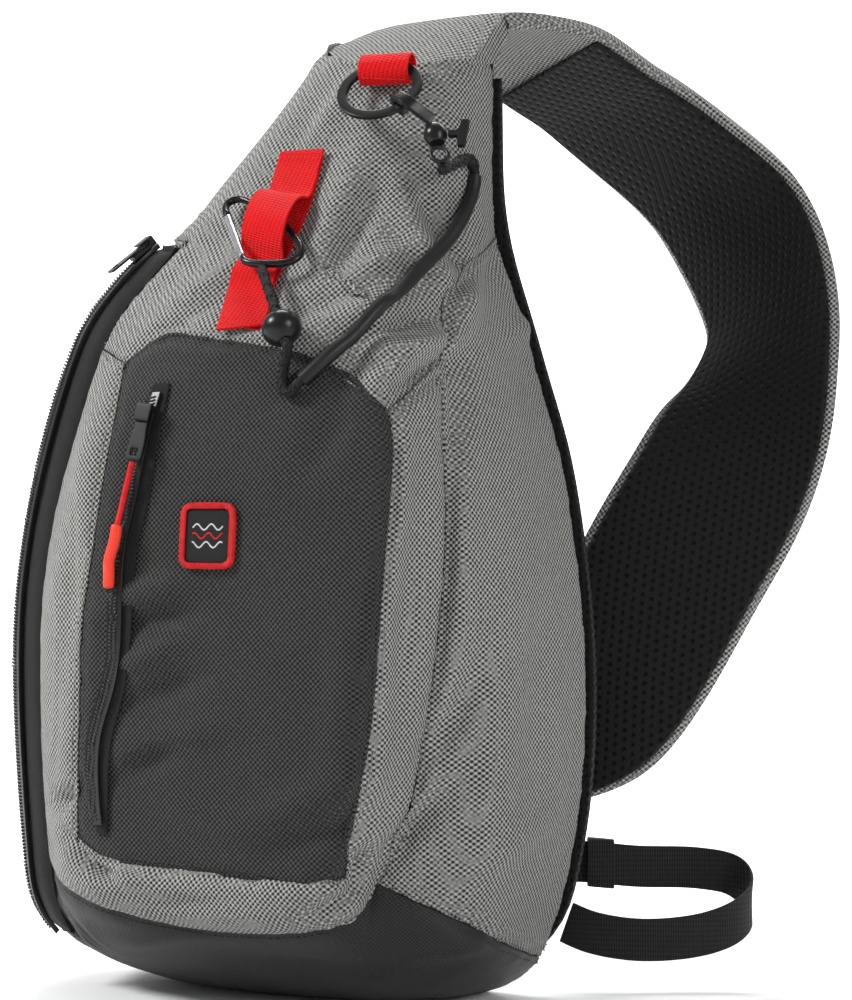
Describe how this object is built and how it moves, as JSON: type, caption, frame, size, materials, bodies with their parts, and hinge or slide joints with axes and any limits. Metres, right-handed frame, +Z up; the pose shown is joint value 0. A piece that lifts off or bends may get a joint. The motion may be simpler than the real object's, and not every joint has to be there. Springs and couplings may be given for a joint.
{
  "type": "sling bag",
  "caption": "Upright fishing tackle sling bag of grey and dark cloth with a front pocket, side zip, padded shoulder strap and clip-on lanyard.",
  "frame": {"origin": "on the floor under the bag, a quarter of its depth in front of its back panel", "axes": "+Z up, -Y the way the pocket faces, +X to the side of the strap"},
  "size_m": [0.3651, 0.3396, 0.4824],
  "materials": {
    "grey_fabric": "light grey melange weave",
    "pocket_fabric": "dark grey melange weave",
    "base_fabric": "dark weave with a thick coating, stiffened",
    "black_fabric": "black twill",
    "black_mesh": "open air mesh over foam",
    "zip_tape": "woven tape",
    "zip_coil": "nylon coil",
    "red_thread": "thick stitched edge",
    "red_webbing": "ribbed webbing",
    "red_cord": "woven cord",
    "red_rubber": "soft moulded grip",
    "black_cord": "braided cord",
    "black_webbing": "ribbed webbing",
    "black_rubber": "matt sleeve",
    "black_plastic": "moulded, slight sheen",
    "black_anodised": "black anodised wire",
    "dark_metal": "black painted zinc",
    "silver_metal": "brushed"
  },
  "bodies": {
    "bag": {"right_gusset": "grey_fabric", "upper_front_panel": "grey_fabric", "pocket_panel": "pocket_fabric", "pocket_gusset": "grey_fabric", "main_zip_tape": "zip_tape", "main_zip_coil": "zip_coil", "left_gusset": "grey_fabric", "base_panel": "base_fabric", "pocket_wall": "pocket_fabric", "back_panel": "black_mesh", "strap_pad": "grey_fabric", "strap_lining": "black_mesh", "label_border": "red_thread", "label_patch": "black_fabric", "pocket_zip_tape": "zip_tape", "pocket_zip_coil": "zip_coil", "pocket_zip_slider": "dark_metal", "pocket_pull_tab": "dark_metal", "main_zip_slider": "dark_metal", "main_pull_tab": "dark_metal", "pull_cord": "red_cord", "pull_grip": "red_rubber", "daisy_loops": "red_webbing", "daisy_base": "red_webbing", "carabiner_body": "black_anodised", "top_loop": "red_webbing", "ring": "black_plastic", "snap_hook": "black_plastic", "hook_swivel": "black_plastic", "hook_lever": "black_plastic", "hook_eye": "black_plastic", "lanyard_top_cord": "black_cord", "lanyard_sleeve": "black_rubber", "lanyard_low_cord": "black_cord", "lanyard_bead": "black_plastic", "lanyard_end_cord": "black_cord", "webbing_loop": "black_webbing", "webbing_keeper": "black_webbing", "strap_buckle": "black_plastic"},
    "gate": {"carabiner_gate": "silver_metal"}
  },
  "joints": [
    {"name": "carabiner_gate_hinge", "type": "hinge", "parent": "bag", "child": "gate", "pos_m": [0.00869, -0.08697, 0.35268], "axis": [-0.1187, 0.6642, -0.7381], "range_deg": [0, 1.8], "stiffness_Nm_per_rad": 0.02, "springref_deg": -17.19}
  ]
}
